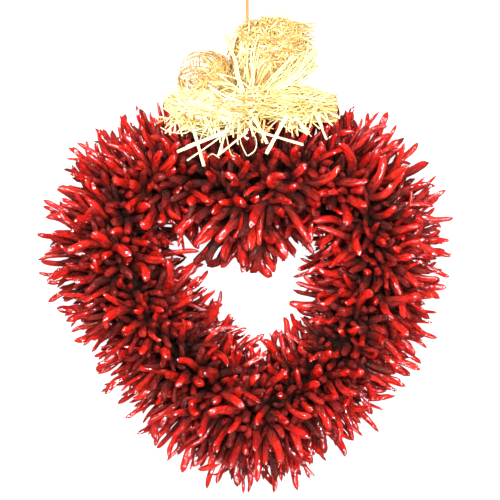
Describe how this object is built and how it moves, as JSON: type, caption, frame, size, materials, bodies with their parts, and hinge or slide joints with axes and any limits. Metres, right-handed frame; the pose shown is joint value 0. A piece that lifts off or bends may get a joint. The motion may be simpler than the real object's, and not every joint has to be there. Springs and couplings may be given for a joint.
{
  "type": "heart-shaped wreath of dried chillies",
  "caption": "Heart-shaped wreath of dried red chilli pods bound round a ring, tips pointing outwards, with a raffia bow and a hanging string at the notch.",
  "frame": {"origin": "on the surface the wreath lies on, under the middle of its box without the string", "axes": "+X to the wreath's right as seen, +Y to its top as it hangs, +Z out of its front"},
  "size_m": [0.3618, 0.4767, 0.0797],
  "materials": {
    "chilli": "glossy wrinkled dried pod skin",
    "raffia": "dry matt palm fibre",
    "string": "dry matt palm fibre"
  },
  "bodies": {
    "root": {"chillies": "chilli", "raffia_loop_right": "raffia", "raffia_loop_left": "raffia", "raffia_ends": "raffia", "hanging_string": "string", "string_eye": "string"}
  },
  "joints": []
}
